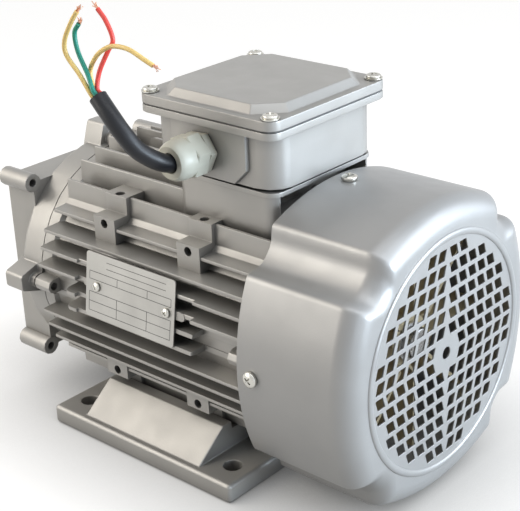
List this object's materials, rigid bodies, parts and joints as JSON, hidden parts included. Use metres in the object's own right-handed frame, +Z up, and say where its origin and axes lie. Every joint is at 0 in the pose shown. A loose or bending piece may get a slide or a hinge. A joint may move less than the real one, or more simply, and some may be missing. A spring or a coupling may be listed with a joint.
{
  "type": "electric motor",
  "caption": "Finned foot-mounted electric motor with a square drive flange, a keyed shaft, a top terminal box with a cable gland, and a perforated cowl over its fan.",
  "frame": {"origin": "middle of the motor's length and width, on the plane of the feet's undersides", "axes": "+Z up, X along the shaft with the fan end towards +X, and the cable gland towards -Y"},
  "size_m": [0.3522, 0.1948, 0.2821],
  "materials": {
    "silver_paint": "satin silver paint on cast aluminium",
    "cowl_paint": "satin silver paint on pressed steel",
    "zinc_steel": "zinc plated",
    "shaft_steel": "ground",
    "lamination_steel": "stacked sheet",
    "varnished_copper": "varnished",
    "black_rubber": "matt",
    "fan_plastic": "matt",
    "terminal_plastic": "matt",
    "ivory_nylon": "satin",
    "plate_aluminium": "brushed, blank",
    "black_sheath": "gloss",
    "yellow_insulation": "gloss",
    "green_insulation": "gloss",
    "red_insulation": "gloss"
  },
  "bodies": {
    "stator": {"stator_frame": "silver_paint", "foot_near": "silver_paint", "foot_far": "silver_paint", "foot_bolt_1": "zinc_steel", "foot_bolt_2": "zinc_steel", "foot_bolt_3": "zinc_steel", "foot_bolt_4": "zinc_steel", "drive_end_shield": "silver_paint", "fan_end_shield": "silver_paint", "drive_shield_bolt_1": "zinc_steel", "drive_shield_bolt_2": "zinc_steel", "drive_shield_bolt_3": "zinc_steel", "drive_shield_bolt_4": "zinc_steel", "fan_shield_bolt_1": "zinc_steel", "fan_shield_bolt_2": "zinc_steel", "fan_shield_bolt_3": "zinc_steel", "fan_shield_bolt_4": "zinc_steel", "drive_bearing_outer_ring": "shaft_steel", "fan_bearing_outer_ring": "shaft_steel", "shaft_seal": "black_rubber", "wave_spring": "shaft_steel", "stator_core": "lamination_steel", "winding_drive_end": "varnished_copper", "winding_fan_end": "varnished_copper", "fan_cowl": "cowl_paint", "cowl_screw_1": "zinc_steel", "cowl_screw_2": "zinc_steel", "cowl_screw_3": "zinc_steel", "terminal_box": "silver_paint", "box_gasket": "black_rubber", "box_screw_1": "zinc_steel", "box_screw_2": "zinc_steel", "box_screw_3": "zinc_steel", "box_screw_4": "zinc_steel", "terminal_block": "terminal_plastic", "terminal_box_lid": "silver_paint", "lid_gasket": "black_rubber", "lid_screw_1": "zinc_steel", "lid_screw_2": "zinc_steel", "lid_screw_3": "zinc_steel", "lid_screw_4": "zinc_steel", "gland_body": "ivory_nylon", "gland_nut": "ivory_nylon", "nameplate": "plate_aluminium", "nameplate_rivet_1": "zinc_steel", "nameplate_rivet_2": "zinc_steel", "cable_sheath": "black_sheath", "lead_yellow_a": "yellow_insulation", "lead_yellow_b": "yellow_insulation", "lead_green": "green_insulation", "lead_red": "red_insulation"},
    "rotor": {"shaft": "shaft_steel", "shaft_key": "shaft_steel", "rotor_core": "lamination_steel", "drive_bearing_inner_ring": "shaft_steel", "fan_bearing_inner_ring": "shaft_steel", "fan": "fan_plastic", "fan_circlip": "shaft_steel"}
  },
  "joints": [
    {"name": "rotor_spin", "type": "hinge", "parent": "stator", "child": "rotor", "pos_m": [0, 0, 0.09], "axis": [1, 0, 0], "continuous": true}
  ]
}
